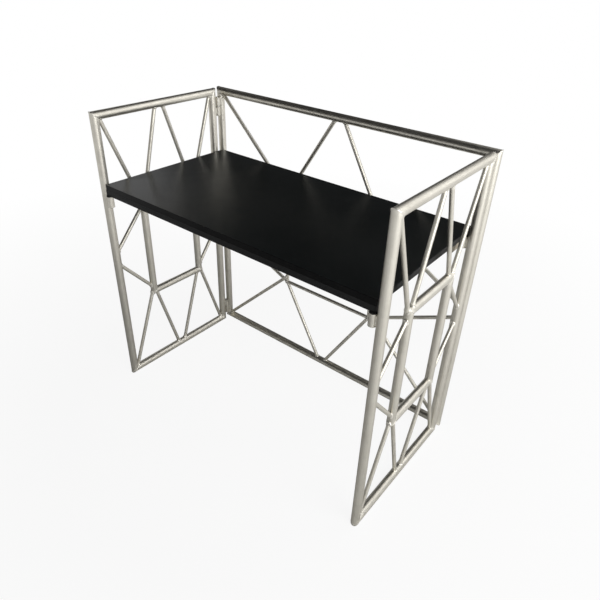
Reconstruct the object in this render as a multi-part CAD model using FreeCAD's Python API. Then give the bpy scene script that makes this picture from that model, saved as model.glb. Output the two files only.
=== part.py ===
"""Folding tubular booth: a wide front panel, two hinged wings and a lift-off tabletop."""
import FreeCAD, Part
import math
import os

from FreeCAD import Vector

# Overall sizes, in millimetres
overall_height = 1190.0
table_width = 1200.0
table_height = 924.0
table_clearance = 3.0
table_near_overhang = 10.0
wing_depth = 568.0
post_pitch = 53.0

# Outer tubes, wing window tubes and lacing bars
tube_radius = 16.0
tube_wall = 2.0
window_tube_radius = 15.0
window_tube_wall = 2.0
bar_radius = 7.5
bar_wall = 1.5

# Windows inside the panels, from the axes of the outer tubes
window_bottom = 355.0
wing_window_top = 796.0
wing_window_far = 142.0
wing_window_near = 409.0
front_window_top = 804.0
front_window_width = 452.0
front_window_shift = 6.0

# Where the lacing bars land on the outer tubes, from a corner or from the middle
wing_corner_landing = 14.0
front_corner_landing = 4.0
rail_landing = 16.0
post_landing = 21.0
front_top_landing_shift = 16.0
front_post_landing_drop = 23.0

# How far from a window's corner they land
wing_corner_spread = 9.0
wing_middle_spread = 10.0
wing_side_rise = 18.0
front_corner_rise = 28.0

# Hinges
fold_gap = 1.0
hinge_end_offset = 22.0
knuckle_radius = 10.0
knuckle_length = 38.0
knuckle_tab_width = 9.0
knuckle_tab_inset = 3.0
pin_radius = 5.0
pin_inset = 1.5
pin_seat_clearance = 0.02
pin_running_clearance = 0.05
washer_thickness = 2.0
washer_bore_clearance = 0.2

# Tabletop
board_thickness = 21.0
edge_band_thickness = 1.5
board_corner_radius = 4.0
batten_height = 22.0
batten_width = 56.0
batten_edge_radius = 2.0
far_batten_setback = 91.0
screws_per_batten = 6
screw_end_margin = 90.0
screw_radius = 2.0
screw_head_radius = 4.2
screw_head_height = 2.2
screw_bite = 12.0
screw_hole_clearance = 0.1

# Rests that carry the table
rest_radius = 12.5
rest_wall = 2.5
rest_length = 43.0
near_rest_turn = 7.0
pad_thickness = 3.0
pad_plug_length = 9.0
pad_plug_clearance = 0.15

# Extra length of a cutting solid past what it cuts
overrun = 5.0

# Places worked out from the sizes above
up = Vector(0, 0, 1)
post_spacing = table_width + 2 * (table_clearance + tube_radius)
rail_spacing = overall_height - 2 * tube_radius
overall_depth = wing_depth + post_pitch + 2 * tube_radius
front_y = overall_depth / 2 - tube_radius
far_y = front_y - post_pitch
near_y = far_y - wing_depth
fold_pitch = 2 * tube_radius + fold_gap
hinge_y = front_y - post_pitch / 2
hinge_inset = fold_pitch - post_pitch / 2
board_bottom = table_height - board_thickness
batten_bottom = board_bottom - batten_height
table_far_y = front_y - tube_radius - table_clearance
table_near_y = near_y - table_near_overhang
table_depth = table_far_y - table_near_y


def rod(start, end, radius):
    """Solid round bar between two points."""
    run = end - start
    return Part.makeCylinder(radius, run.Length, start, run)


def ring(center, radius, bore, height):
    """Upright round sleeve standing on a point."""
    sleeve = Part.makeCylinder(radius, height, center, up)
    through = Part.makeCylinder(bore, height + 2 * overrun, center - up * overrun, up)
    return sleeve.cut(through)


def largest(shape):
    """The main solid of a cut, without chips that the cut leaves behind."""
    return max(shape.Solids, key=lambda solid: solid.Volume)


def export(name, *solids):
    """Write one node, as a single solid or a group of separate solids."""
    shape = solids[0] if len(solids) == 1 else Part.makeCompound(list(solids))
    shape.exportStep(f"parts/{name}.step")


class Panel:
    """A flat welded frame: its tube axes by distance along it and height above its bottom rail."""

    def __init__(self, name, corner, along, length):
        self.name = name
        self.corner = corner
        self.along = along
        self.length = length
        self.normal = along.cross(up)

    def at(self, distance, height):
        return self.corner + self.along * distance + up * height

    def rectangle(self, first, last, bottom, top):
        """Axis ends of four tubes, keyed by side, each with the way towards the middle."""
        return {
            "bottom": (self.at(first, bottom), self.at(last, bottom), up),
            "top": (self.at(first, top), self.at(last, top), -up),
            "first": (self.at(first, bottom), self.at(first, top), self.along),
            "last": (self.at(last, bottom), self.at(last, top), -self.along),
        }

    def mitred_rod(self, start, end, inward, radius):
        """Solid round bar between two corner points, cut at 45 degrees at both ends."""
        run = (end - start).normalize()
        reach = radius + overrun
        corners = [start - (run + inward) * reach, end + (run - inward) * reach,
                   end - (run - inward) * reach, start + (run + inward) * reach]
        outline = Part.makePolygon(corners + corners[:1])
        outline.translate(-self.normal * reach)
        wedge = Part.Face(outline).extrude(self.normal * 2 * reach)
        return rod(start - run * reach, end + run * reach, radius).common(wedge).Solids[0]

    def mitred_tube(self, start, end, inward, radius, wall):
        """Round tube between two corner points, cut at 45 degrees at both ends."""
        run = (end - start).normalize() * (radius + overrun)
        bore = rod(start - run, end + run, radius - wall)
        return self.mitred_rod(start, end, inward, radius).cut(bore).Solids[0]

    def blockers(self, rectangle, radius):
        """Solid bars in place of a rectangle's tubes, for cutting what lands on them."""
        return [self.mitred_rod(*side, radius) for side in rectangle.values()]

    def lacing(self, window, window_radius, landings):
        """Bars from the window to the outer tubes, each coped to whatever it meets."""
        outer = self.rectangle(0, self.length, 0, rail_spacing)
        cutters = self.blockers(outer, tube_radius)
        cutters += self.blockers(self.rectangle(*window), window_radius)
        bars = {}
        for side, ends in landings.items():
            bars[side] = []
            for window_end, outer_end in ends:
                start = self.at(*window_end)
                end = self.at(*outer_end)
                solid = rod(start, end, bar_radius)
                bore = rod(start, end, bar_radius - bar_wall)
                bars[side].append(largest(solid.cut(cutters).cut(bore)))
                cutters.append(solid)
        return bars


def lacing_landings(length, window, corner_landing, corner_spread=0, corner_rise=0,
                    middle_spread=0, side_rise=0, top_shift=0, post_drop=0):
    """Both ends of a panel's twelve bars: four to its corners, eight to the middles of its tubes."""
    first, last, bottom, top = window
    middle = length / 2
    post_middle = rail_spacing / 2 - post_drop
    landings = {}
    for side, height, sill, inward, node in (("top", rail_spacing, top, -1, middle + top_shift),
                                             ("bottom", 0, bottom, 1, middle)):
        corner_height = sill + inward * corner_rise
        landings[side] = [
            ((first - corner_spread, corner_height), (corner_landing, height)),
            ((last + corner_spread, corner_height), (length - corner_landing, height)),
            ((first + middle_spread, sill), (node - rail_landing, height)),
            ((last - middle_spread, sill), (node + rail_landing, height)),
        ]
    landings["side"] = [
        ((jamb, sill + inward * side_rise), (post, post_middle - inward * post_landing))
        for jamb, post in ((first, 0), (last, length))
        for sill, inward in ((top, -1), (bottom, 1))
    ]
    return landings


def build_panel(panel, first_name, last_name, window, window_radius, window_wall, landings):
    """Outer tubes, window tubes and lacing of one panel, each written as its own node."""
    outer_names = {"bottom": "bottom_rail", "top": "top_rail",
                   "first": f"{first_name}_post", "last": f"{last_name}_post"}
    window_names = {"bottom": "bottom", "top": "top", "first": first_name, "last": last_name}
    outer = panel.rectangle(0, panel.length, 0, rail_spacing)
    for side, (start, end, inward) in outer.items():
        tube = panel.mitred_tube(start, end, inward, tube_radius, tube_wall)
        export(f"{panel.name}_{outer_names[side]}", tube)
    for side, (start, end, inward) in panel.rectangle(*window).items():
        tube = panel.mitred_tube(start, end, inward, window_radius, window_wall)
        export(f"{panel.name}_window_{window_names[side]}", tube)
    for side, bars in panel.lacing(window, window_radius, landings).items():
        export(f"{panel.name}_{side}_bars", *bars)


def hinge_axis(hand):
    """Foot of one hinge line: between the two posts, a little inside the booth."""
    return Vector(hand * (post_spacing / 2 - hinge_inset), hinge_y, 0)


def knuckle(hand, bottom, post_y, bore):
    """Hinge barrel with the tab that welds it to a post."""
    foot = hinge_axis(hand) + up * bottom
    post = Vector(hand * post_spacing / 2, post_y, 0)
    reach = post - hinge_axis(hand)
    turn = math.degrees(math.atan2(reach.y, reach.x))
    tab = Part.makeBox(reach.Length, knuckle_tab_width, knuckle_length - 2 * knuckle_tab_inset,
                       foot + Vector(0, -knuckle_tab_width / 2, knuckle_tab_inset))
    tab.rotate(foot, up, turn)
    tab = largest(tab.cut(rod(post, post + up * overall_height, tube_radius)))
    barrel = Part.makeCylinder(knuckle_radius, knuckle_length, foot, up).fuse(tab)
    through = Part.makeCylinder(bore, knuckle_length + 2 * overrun, foot - up * overrun, up)
    return barrel.cut(through).removeSplitter().Solids[0]


def build_hinges():
    """Two hinges a side: the front panel holds the outer knuckles and the pins."""
    pair = 2 * knuckle_length + washer_thickness
    low = tube_radius + hinge_end_offset
    high = overall_height - low - pair
    step = knuckle_length + washer_thickness
    front_knuckles, pins, washers = [], [], []
    for hand, wing in ((-1, "left"), (1, "right")):
        wing_knuckles = []
        for bottom, front_lift, wing_lift in ((low, 0, step), (high, step, 0)):
            front_knuckles.append(knuckle(hand, bottom + front_lift, front_y,
                                          pin_radius + pin_seat_clearance))
            wing_knuckles.append(knuckle(hand, bottom + wing_lift, far_y,
                                         pin_radius + pin_running_clearance))
            foot = hinge_axis(hand) + up * bottom
            pins.append(rod(foot + up * pin_inset, foot + up * (pair - pin_inset), pin_radius))
            washers.append(ring(foot + up * knuckle_length, knuckle_radius,
                                pin_radius + washer_bore_clearance, washer_thickness))
        export(f"{wing}_hinge_knuckles", *wing_knuckles)
    export("front_hinge_knuckles", *front_knuckles)
    export("hinge_pins", *pins)
    export("hinge_washers", *washers)


def build_rests(wing, hand):
    """Two stub tubes beside a wing's posts, each with a plugged pad that carries the table."""
    reach = tube_radius + rest_radius
    stubs, pads = [], []
    places = ((near_y, near_rest_turn, batten_bottom), (far_y, 0, board_bottom))
    for post_y, turn, carried in places:
        lean = math.radians(turn)
        center = Vector(hand * (post_spacing / 2 - reach * math.cos(lean)),
                        post_y - reach * math.sin(lean), carried - pad_thickness - rest_length)
        stubs.append(ring(center, rest_radius, rest_radius - rest_wall, rest_length))
        seat = center + up * rest_length
        plug = rod(seat - up * pad_plug_length, seat, rest_radius - rest_wall - pad_plug_clearance)
        pads.append(rod(seat, seat + up * pad_thickness, rest_radius).fuse(plug).removeSplitter())
    export(f"{wing}_table_rests", *stubs)
    export(f"{wing}_rest_pads", *[pad.Solids[0] for pad in pads])


def upright_edges(solid):
    """Edges of a box that stand upright."""
    runs = [(edge, edge.tangentAt(edge.FirstParameter)) for edge in solid.Edges]
    return [edge for edge, run in runs if abs(run.z) > abs(run.x) + abs(run.y)]


def lower_long_edges(solid):
    """Long bottom edges of a batten."""
    floor = solid.BoundBox.ZMin
    longest = max(edge.Length for edge in solid.Edges)
    return [edge for edge in solid.Edges
            if edge.BoundBox.ZMax - floor < batten_edge_radius and edge.Length > longest / 2]


def slab(width, depth, height, far_edge, bottom):
    """Box centred on the booth, its far side on a given line."""
    return Part.makeBox(width, depth, height, Vector(-width / 2, far_edge - depth, bottom))


def screw_places(far_edge):
    """Points along the middle of a batten's underside."""
    run = table_width - 2 * screw_end_margin
    pitch = run / (screws_per_batten - 1)
    return [Vector(index * pitch - run / 2, far_edge - batten_width / 2, batten_bottom)
            for index in range(screws_per_batten)]


def screw(place):
    """Pan-head screw driven up through a batten into the board."""
    head = rod(place - up * screw_head_height, place, screw_head_radius)
    shank = rod(place, place + up * (batten_height + screw_bite), screw_radius)
    return head.fuse(shank).removeSplitter().Solids[0]


def build_table():
    """Board with its edge band, the two battens under it and their screws."""
    outside = slab(table_width, table_depth, board_thickness, table_far_y, board_bottom)
    outside = outside.makeFillet(board_corner_radius, upright_edges(outside))
    core = slab(table_width - 2 * edge_band_thickness, table_depth - 2 * edge_band_thickness,
                board_thickness, table_far_y - edge_band_thickness, board_bottom)
    core = core.makeFillet(board_corner_radius - edge_band_thickness, upright_edges(core))
    near_edge = table_near_y + batten_width
    far_edge = table_far_y - far_batten_setback
    places = {"near": screw_places(near_edge), "far": screw_places(far_edge)}
    hole_radius = screw_radius + screw_hole_clearance
    holes = [rod(place - up * overrun, place + up * (batten_height + screw_bite), hole_radius)
             for row in places.values() for place in row]
    for name, edge in (("near", near_edge), ("far", far_edge)):
        batten = slab(table_width, batten_width, batten_height, edge, batten_bottom)
        batten = batten.makeFillet(batten_edge_radius, lower_long_edges(batten))
        export(f"table_{name}_batten", batten.cut(holes).Solids[0])
    export("table_edge_band", outside.cut(core).Solids[0])
    export("table_board", core.cut(holes).Solids[0])
    export("batten_screws", *[screw(place) for row in places.values() for place in row])


def build_front():
    """Wide panel on the far side, its window framed by thin bars."""
    corner = Vector(-post_spacing / 2, front_y, tube_radius)
    panel = Panel("front", corner, Vector(1, 0, 0), post_spacing)
    window_middle = post_spacing / 2 + front_window_shift
    window = (window_middle - front_window_width / 2, window_middle + front_window_width / 2,
              window_bottom, front_window_top)
    landings = lacing_landings(post_spacing, window, front_corner_landing,
                               corner_rise=front_corner_rise, top_shift=front_top_landing_shift,
                               post_drop=front_post_landing_drop)
    build_panel(panel, "left", "right", window, bar_radius, bar_wall, landings)


def build_wing(wing, hand):
    """Narrow panel at one end, from the hinge side to the open side, with its table rests."""
    corner = Vector(hand * post_spacing / 2, far_y, tube_radius)
    panel = Panel(wing, corner, Vector(0, -1, 0), wing_depth)
    window = (wing_window_far, wing_window_near, window_bottom, wing_window_top)
    landings = lacing_landings(wing_depth, window, wing_corner_landing,
                               corner_spread=wing_corner_spread, middle_spread=wing_middle_spread,
                               side_rise=wing_side_rise)
    build_panel(panel, "far", "near", window, window_tube_radius, window_tube_wall, landings)
    build_rests(wing, hand)


def main():
    os.makedirs("parts", exist_ok=True)
    build_front()
    for wing, hand in (("left", -1), ("right", 1)):
        build_wing(wing, hand)
    build_hinges()
    build_table()


main()
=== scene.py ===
"""Looks of the folding tube booth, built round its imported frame."""
import math
import random
from functools import partial

import bpy
from bpy.props import FloatProperty, FloatVectorProperty, IntProperty, PointerProperty
from mathutils import Matrix, Vector


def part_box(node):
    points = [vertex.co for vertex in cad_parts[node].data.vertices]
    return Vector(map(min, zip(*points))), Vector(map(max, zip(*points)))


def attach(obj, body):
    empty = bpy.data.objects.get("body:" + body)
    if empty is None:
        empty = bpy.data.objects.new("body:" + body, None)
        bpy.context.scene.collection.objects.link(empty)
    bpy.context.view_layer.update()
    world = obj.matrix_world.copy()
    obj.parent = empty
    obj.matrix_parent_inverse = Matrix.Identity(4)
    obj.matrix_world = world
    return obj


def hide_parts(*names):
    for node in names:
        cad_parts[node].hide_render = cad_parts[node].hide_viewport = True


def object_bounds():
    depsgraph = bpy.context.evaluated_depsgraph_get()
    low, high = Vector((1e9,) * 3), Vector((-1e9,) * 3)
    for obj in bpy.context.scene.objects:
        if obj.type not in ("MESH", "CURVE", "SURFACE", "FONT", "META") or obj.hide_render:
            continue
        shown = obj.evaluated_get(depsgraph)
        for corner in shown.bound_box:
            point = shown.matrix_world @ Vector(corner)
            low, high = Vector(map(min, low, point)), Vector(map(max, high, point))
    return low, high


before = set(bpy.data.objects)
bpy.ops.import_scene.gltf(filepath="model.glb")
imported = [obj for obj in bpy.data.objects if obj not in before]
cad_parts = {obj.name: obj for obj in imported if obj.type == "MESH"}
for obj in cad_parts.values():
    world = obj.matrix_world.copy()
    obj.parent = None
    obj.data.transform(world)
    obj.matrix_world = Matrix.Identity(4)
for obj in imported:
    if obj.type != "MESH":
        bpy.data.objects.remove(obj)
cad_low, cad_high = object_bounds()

bl_info = {
    "name": "Folding Tube Booth",
    "version": (1, 0, 0),
    "blender": (4, 5, 0),
    "location": "View3D > Sidebar > Booth",
    "description": "Welded tube panels, knuckle hinges and a lift-off black tabletop",
    "category": "Object",
}

SEED = 11
UP = Vector((0, 0, 1))
WHITE = (1, 1, 1, 1)
TOUCH = 0.0001  # two heights this close are the same
CUT_TOLERANCE = 1e-7
SMOOTH_ANGLE = math.radians(40)
SEAM_SMOOTH_ANGLE = math.radians(60)
SCREW_SMOOTH_ANGLE = math.radians(35)


def middle(node):
    """Centre of a CAD node's box."""
    low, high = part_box(node)
    return (low + high) / 2


def span(node, axis):
    """Length of a CAD node's box along one axis."""
    low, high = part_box(node)
    return high[axis] - low[axis]


# Settings

def length_prop(name, description, default):
    return FloatProperty(name=name, description=description, default=default,
                         unit="LENGTH", subtype="DISTANCE", precision=4)


def share_prop(name, description, default):
    return FloatProperty(name=name, description=description, default=default,
                         min=0, max=1, subtype="FACTOR")


def angle_prop(name, description, default):
    return FloatProperty(name=name, description=description, default=default,
                         subtype="ANGLE", unit="ROTATION")


def shift_prop(name, description, default):
    return FloatProperty(name=name, description=description, default=default, precision=5)


def camera_prop(name, description, default):
    return FloatProperty(name=name, description=description, default=default,
                         min=1, unit="CAMERA", precision=4)


def power_prop(name, description, default):
    return FloatProperty(name=name, description=description, default=default,
                         min=0, unit="POWER")


def count_prop(name, description, default):
    return IntProperty(name=name, description=description, default=default, min=1)


def vector_prop(name, description, default):
    return FloatVectorProperty(name=name, description=description, default=default,
                               size=len(default), subtype="XYZ", unit="LENGTH")


def colour_prop(name, description, default):
    return FloatVectorProperty(name=name, description=description, default=default,
                               size=4, min=0, max=1, subtype="COLOR")


class LatticeSizes(bpy.types.PropertyGroup):
    """Where the lacing bars land, and how thick the tubes are."""
    tube_radius: length_prop("Tube radius", "Outer tubes", span("front_top_rail", 2) / 2)
    window_radius: length_prop("Window radius", "Window tubes of the wings",
                               span("left_window_top", 0) / 2)
    bar_radius: length_prop("Bar radius", "Lacing bars and front window",
                            span("front_window_top", 1) / 2)
    wing_corner_landing: length_prop("Wing corner landing", "Bar from the post", 0.014)
    front_corner_landing: length_prop("Front corner landing", "Bar from the post", 0.004)
    rail_landing: length_prop("Rail landing", "Bar from the rail's node", 0.016)
    post_landing: length_prop("Post landing", "Bar from the post's node", 0.021)
    front_top_shift: length_prop("Front node shift", "Top node from the middle", 0.016)
    front_post_drop: length_prop("Front post drop", "Post node below the middle", 0.023)
    wing_corner_spread: length_prop("Wing corner spread", "Corner bar past the window", 0.009)
    wing_middle_spread: length_prop("Wing middle spread", "Middle bar inside the window", 0.010)
    wing_side_rise: length_prop("Wing side rise", "Side bar from the window's corner", 0.018)
    front_corner_rise: length_prop("Front corner rise", "Corner bar along the jamb", 0.028)
    grain_shift: length_prop("Grain shift", "Longest shift of the grain along a tube", 9)
    tube_sides: count_prop("Tube sides", "Faces round an outer tube", 72)
    bar_sides: count_prop("Bar sides", "Faces round a lacing bar", 48)


class WeldSizes(bpy.types.PropertyGroup):
    """Weld beads, given as half their width, and how uneven they are."""
    bar_bead: length_prop("Bar bead", "Round the foot of a lacing bar", 0.0047)
    bar_sink: length_prop("Bar sink", "Foot bead's middle below the skins", 0.0017)
    mitre_bead: length_prop("Mitre bead", "Round a mitred corner", 0.0028)
    mitre_sink: length_prop("Mitre sink", "Mitre bead's middle below the skin", 0.0019)
    seam_bead: length_prop("Seam bead", "Along a knuckle or a rest", 0.0024)
    ripple_pitch: length_prop("Ripple pitch", "From one ripple to the next", 0.0021)
    ripple_depth: share_prop("Ripple depth", "Share of the bead's size", 0.05)
    swell: share_prop("Swell", "Slow unevenness, as a share of the bead's size", 0.12)
    jitter: share_prop("Jitter", "Unevenness from point to point", 0.02)
    fewest_swells: count_prop("Fewest swells", "Swells round one bead", 2)
    most_swells: count_prop("Most swells", "Swells round one bead", 4)
    fewest_ripples: count_prop("Fewest ripples", "Ripples of a short bead", 4)
    bead_steps: count_prop("Bead steps", "Steps across a quarter of a bead", 2)
    seam_sides: count_prop("Seam sides", "Faces round a seam bead", 10)


class FittingSizes(bpy.types.PropertyGroup):
    """Hinges, rests and the table's small parts."""
    knuckle_radius: length_prop("Knuckle radius", "Hinge barrel", 0.010)
    pin_radius: length_prop("Pin radius", "Hinge pin", 0.005)
    tab_width: length_prop("Tab width", "Plate between barrel and post", 0.009)
    tab_inset: length_prop("Tab inset", "From the barrel's ends", 0.003)
    tab_lap: length_prop("Tab lap", "Tab's reach into the barrel's wall", 0.0025)
    groove_sink: length_prop("Groove sink", "Seam from the groove's middle to the barrel", 0.0004)
    groove_rise: length_prop("Groove rise", "Seam's middle above the tab's face", 0.0009)
    rim_round: length_prop("Rim round", "Turned edges", 0.0007)
    rest_radius: length_prop("Rest radius", "Stub tubes under the table", 0.0125)
    rest_wall: length_prop("Rest wall", "Stub tubes under the table", 0.0025)
    rest_length: length_prop("Rest length", "Stub tubes under the table", 0.043)
    rest_seam_inset: length_prop("Rest seam inset", "From the stub's ends", 0.004)
    rest_seam_sink: length_prop("Rest seam sink", "Seam's middle inside the stub's skin", 0.0008)
    rest_seam_spread: length_prop("Rest seam spread", "Seam from the groove's middle", 0.0049)
    pad_thickness: length_prop("Pad thickness", "Cap on a stub", 0.003)
    band_thickness: length_prop("Band thickness", "Edge band of the board", 0.0015)
    corner_radius: length_prop("Corner radius", "Upright corners of the board", 0.004)
    board_round: length_prop("Board round", "Softened edges of the board", 0.0005)
    batten_round: length_prop("Batten round", "Softened edges of the battens", 0.002)
    screw_head: length_prop("Screw head", "Radius of a pan head", 0.0042)
    screw_crown: length_prop("Screw crown", "Rounding of a pan head", 0.0012)
    recess_reach: length_prop("Recess reach", "Half the length of a cross arm", 0.0022)
    recess_half: length_prop("Recess half", "Half the width of a cross arm", 0.00045)
    recess_depth: length_prop("Recess depth", "Cross in a pan head", 0.0012)
    shank_radius: length_prop("Shank radius", "Screw in the batten", 0.002)
    shank_length: length_prop("Shank length", "Screw in the batten", 0.03)
    shank_lap: length_prop("Shank lap", "Shank's reach into the head", 0.0005)
    screw_turn: angle_prop("Screw turn", "From one screw's cross to the next", 1.7)
    row_turn: angle_prop("Row turn", "From one batten's first cross to the other's", 6)
    batten_screws: count_prop("Batten screws", "Screws in one batten", 6)
    turned_sides: count_prop("Turned sides", "Faces round a barrel, stub or pad", 48)
    pin_sides: count_prop("Pin sides", "Faces round a hinge pin", 40)
    head_sides: count_prop("Head sides", "Faces round a pan head", 36)
    shank_sides: count_prop("Shank sides", "Faces round a screw's shank", 16)


class FinishColours(bpy.types.PropertyGroup):
    """Colours of the booth's finishes."""
    aluminium: colour_prop("Aluminium", "Drawn tube", (0.72, 0.693, 0.62, 1))
    aluminium_dull: colour_prop("Dull aluminium", "Handled stretches of tube",
                                (0.567, 0.543, 0.482, 1))
    weld: colour_prop("Weld", "Bead metal", (0.84, 0.815, 0.75, 1))
    steel: colour_prop("Steel", "Pins, washers and screws", (0.58, 0.58, 0.57, 1))
    steel_dull: colour_prop("Dull steel", "Handled pins and washers", (0.3, 0.3, 0.29, 1))
    zinc_dull: colour_prop("Dull zinc", "Tarnished screws", (0.36, 0.34, 0.28, 1))
    metal_edge: colour_prop("Metal edge", "Metals seen at a low angle", (0.7, 0.7, 0.7, 1))
    laminate: colour_prop("Laminate", "Board face", (0.0009, 0.0028, 0.0032, 1))
    laminate_wiped: colour_prop("Wiped laminate", "Haze on the board", (0.002, 0.004, 0.0044, 1))
    laminate_rub: colour_prop("Rubbed laminate", "Rubs on the board", (0.06, 0.06, 0.06, 1))
    dust: colour_prop("Dust", "Specks on the board", (0.2, 0.2, 0.19, 1))
    band: colour_prop("Band", "Edge band", (0.0033, 0.0035, 0.0036, 1))
    band_worn: colour_prop("Worn band", "Handled edge band", (0.007, 0.0072, 0.0074, 1))
    band_speck: colour_prop("Band specks", "Nicks in the band", (0.14, 0.14, 0.13, 1))
    paint: colour_prop("Paint", "Near batten", (0.0105, 0.011, 0.0115, 1))
    paint_thin: colour_prop("Thin paint", "Raised grain", (0.021, 0.0215, 0.022, 1))
    paint_chip: colour_prop("Chipped paint", "Timber that shows", (0.10, 0.095, 0.085, 1))
    plywood: colour_prop("Plywood", "Far batten", (0.30, 0.265, 0.205, 1))
    plywood_dark: colour_prop("Dark plies", "Cross plies and grain", (0.17, 0.145, 0.105, 1))
    plywood_pale: colour_prop("Pale plies", "Bleached patches", (0.38, 0.345, 0.28, 1))
    rubber: colour_prop("Rubber", "Rest pads", (0.018, 0.018, 0.018, 1))
    rubber_worn: colour_prop("Worn rubber", "Rubbed pads", (0.035, 0.035, 0.034, 1))


class StageSettings(bpy.types.PropertyGroup):
    """Camera, floor and studio light."""
    lens: camera_prop("Lens", "Focal length", 32.5545)
    sensor: camera_prop("Sensor", "Sensor width", 36)
    shift_x: shift_prop("Shift across", "Share of the picture", -0.00291)
    shift_y: shift_prop("Shift up", "Share of the picture", -0.01905)
    turn: angle_prop("Turn", "Camera's angle round the booth", 0.6546314)
    tilt: angle_prop("Tilt", "Camera's angle above the horizon", 0.5519452)
    roll: angle_prop("Roll", "Camera's roll", 0.0397602)
    place: vector_prop("Place", "Camera's place", (1.171835, -1.390513, 1.687200))
    aim_height: length_prop("Aim height", "Where the softboxes point", 0.6)
    back_power: power_prop("Back power", "Softbox behind the booth", 39)
    back_place: vector_prop("Back place", "Softbox behind the booth", (2.4, 3.0, 2.6))
    back_size: vector_prop("Back size", "Softbox behind the booth", (2.6, 3.0))
    high_power: power_prop("High power", "Softbox above the booth", 13)
    high_place: vector_prop("High place", "Softbox above the booth", (0.9, 1.9, 3.4))
    high_size: vector_prop("High size", "Softbox above the booth", (2.4, 1.6))
    side_power: power_prop("Side power", "Softbox on the right", 192)
    side_place: vector_prop("Side place", "Softbox on the right", (4.2, -0.6, 2.2))
    side_size: vector_prop("Side size", "Softbox on the right", (3.2, 3.2))
    sheen_power: power_prop("Sheen power", "Softbox that the table mirrors", 9)
    sheen_place: vector_prop("Sheen place", "Softbox that the table mirrors", (-3.9, 1.4, 2.2))
    sheen_size: vector_prop("Sheen size", "Softbox that the table mirrors", (1.8, 2.0))
    floor: colour_prop("Floor", "Pale floor", (0.74, 0.74, 0.73, 1))
    floor_rough: share_prop("Floor roughness", "Pale floor", 0.8)
    floor_radius: length_prop("Floor radius", "Pale floor", 60)
    floor_sides: count_prop("Floor sides", "Corners of the round floor", 96)
    seen_white: share_prop("Seen white", "White in the floor under the booth", 0.91)
    seen_near: length_prop("Seen near", "Where the seen floor starts to whiten", 0.9)
    seen_far: length_prop("Seen far", "Where the seen floor is white", 3.0)
    bounced_white: share_prop("Bounced white", "White that near tubes mirror", 0.04)
    bounced_centre: vector_prop("Bounced centre", "Dim middle of the mirrored floor",
                                (-0.5, -0.5, 0))
    bounced_near: length_prop("Bounced near", "Where the mirrored floor starts to whiten", 1.2)
    bounced_far: length_prop("Bounced far", "Where the mirrored floor is white", 3.2)
    room: colour_prop("Room", "Dim grey room", (0.017, 0.017, 0.017, 1))
    horizon_white: share_prop("Horizon white", "White that is mirrored from the horizon", 0.5)
    horizon_height: share_prop("Horizon height", "Upward share where it ends", 0.22)


# Modelling

def choose_only(piece):
    """Makes one piece the selected and active one."""
    bpy.ops.object.select_all(action="DESELECT")
    piece.select_set(True)
    bpy.context.view_layer.objects.active = piece


def settle(piece):
    """Moves a piece's place, turn and scale into its mesh."""
    choose_only(piece)
    bpy.ops.object.transform_apply(location=True, rotation=True, scale=True)
    return piece


def axes(origin, run, side):
    """Matrix whose third axis is the run and whose first leans to the side."""
    run = run.normalized()
    across = (side - run * side.dot(run)).normalized()
    turned = Matrix((across, run.cross(across), run)).transposed()
    return Matrix.Translation(origin) @ turned.to_4x4()


def pick(piece, kind, test):
    """Selects, in edit mode, the active piece's points, edges or faces that pass a test."""
    bpy.ops.object.mode_set(mode="EDIT")
    bpy.ops.mesh.select_mode(type=kind)
    bpy.ops.object.mode_set(mode="OBJECT")
    mesh = piece.data
    for part in (*mesh.vertices, *mesh.edges, *mesh.polygons):
        part.select = False
    for part in {"VERT": mesh.vertices, "EDGE": mesh.edges, "FACE": mesh.polygons}[kind]:
        part.select = test(part)
    bpy.ops.object.mode_set(mode="EDIT")


def pick_edges(piece, test):
    """Selects, in edit mode, the edges that pass a test on their run and their middle."""
    def passes(edge):
        start, end = (piece.data.vertices[index].co for index in edge.vertices)
        return test(end - start, (start + end) / 2)
    pick(piece, "EDGE", passes)


def is_upright(run, _):
    """Whether an edge rises more than it runs sideways."""
    return abs(run.z) > max(abs(run.x), abs(run.y))


def round_edges(piece, test, radius, segments):
    """Rounds the edges that pass a test on their run and their middle."""
    pick_edges(piece, test)
    bpy.ops.mesh.bevel(offset=radius, segments=segments, affect="EDGES")
    bpy.ops.object.mode_set(mode="OBJECT")


def round_bar(length, radius, sides):
    """Upright round bar that stands on the origin."""
    bpy.ops.object.select_all(action="DESELECT")
    bpy.ops.mesh.primitive_cylinder_add(vertices=sides, radius=radius, depth=length,
                                        location=(0, 0, length / 2))
    return settle(bpy.context.object)


def keep_above(point, normal):
    """Cuts the piece in edit mode and closes the cut, keeping the normal's side."""
    bpy.ops.mesh.select_all(action="SELECT")
    bpy.ops.mesh.bisect(plane_co=point, plane_no=normal, use_fill=True, clear_inner=True,
                        threshold=CUT_TOLERANCE)


def mark_tube(tube, length, buried):
    """Stores each point's place in the tube's own axes, and its distance from the nearest weld."""
    points = [vertex.co.copy() for vertex in tube.data.vertices]
    marks = tube.data.attributes
    marks.new("tube_space", "FLOAT_VECTOR", "POINT")
    marks.new("weld_distance", "FLOAT", "POINT")
    grain, weld = marks["tube_space"], marks["weld_distance"]
    shift = random.uniform(0, bpy.context.scene.booth_lattice.grain_shift)
    half = length / 2
    for index, point in enumerate(points):
        grain.data[index].vector = (point.x, point.y, point.z + shift)
        at_middle = abs(point.z - half) < TOUCH
        weld.data[index].value = half - buried if at_middle else -buried


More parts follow.
